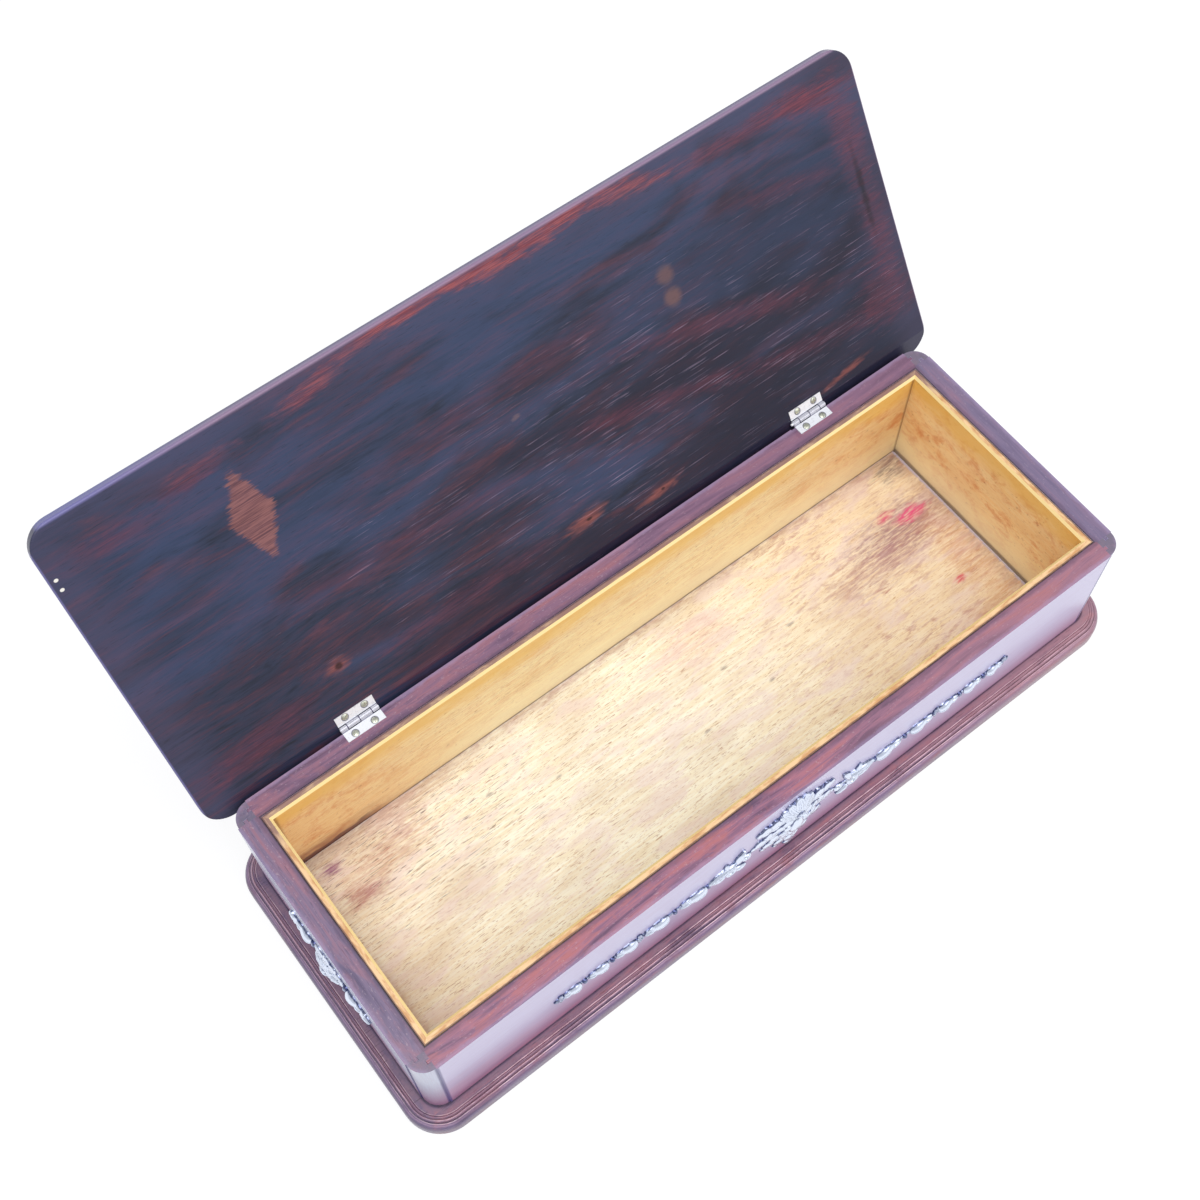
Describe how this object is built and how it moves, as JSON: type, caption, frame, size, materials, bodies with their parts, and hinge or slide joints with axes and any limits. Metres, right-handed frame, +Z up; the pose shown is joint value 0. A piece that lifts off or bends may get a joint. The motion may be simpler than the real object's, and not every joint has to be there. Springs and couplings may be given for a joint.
{
  "type": "rosewood box",
  "caption": "Long low wooden box with a hinged lid, rounded corner posts, moulded base, pale inner lining and silver ornaments.",
  "frame": {"origin": "centre of the base board's underside, on the surface that the box stands on", "axes": "+X along the front to the right, +Y from the front to the hinged back, +Z up"},
  "size_m": [0.4026, 0.2352, 0.2009],
  "materials": {
    "rosewood_case": "polished",
    "rosewood_lid": "polished",
    "lining_wood": "satin",
    "floor_wood": "bare",
    "silver": "polished",
    "plated_hinge": "satin",
    "screw_brass": "aged",
    "screw_steel": "satin"
  },
  "bodies": {
    "case": {"base_board": "rosewood_case", "base_screws": "screw_steel", "front_wall": "rosewood_case", "back_wall": "rosewood_case", "left_wall": "rosewood_case", "right_wall": "rosewood_case", "corner_post_front_left": "rosewood_case", "corner_post_front_right": "rosewood_case", "corner_post_back_left": "rosewood_case", "corner_post_back_right": "rosewood_case", "floor_panel": "floor_wood", "lining_front": "lining_wood", "lining_back": "lining_wood", "lining_left": "lining_wood", "lining_right": "lining_wood", "hinge_left_box_leaf": "plated_hinge", "hinge_left_pin": "plated_hinge", "hinge_left_box_screws": "screw_brass", "hinge_right_box_leaf": "plated_hinge", "hinge_right_pin": "plated_hinge", "hinge_right_box_screws": "screw_brass", "front_garland": "silver", "left_end_mount": "silver", "right_end_mount": "silver"},
    "lid": {"lid_panel": "rosewood_lid", "hinge_left_lid_leaf": "plated_hinge", "hinge_left_lid_screws": "screw_brass", "hinge_right_lid_leaf": "plated_hinge", "hinge_right_lid_screws": "screw_brass"}
  },
  "joints": [
    {"name": "lid_hinge", "type": "hinge", "parent": "case", "child": "lid", "pos_m": [0, 0.0705, 0.0785], "axis": [1, 0, 0], "range_deg": [0, 123.5]}
  ]
}
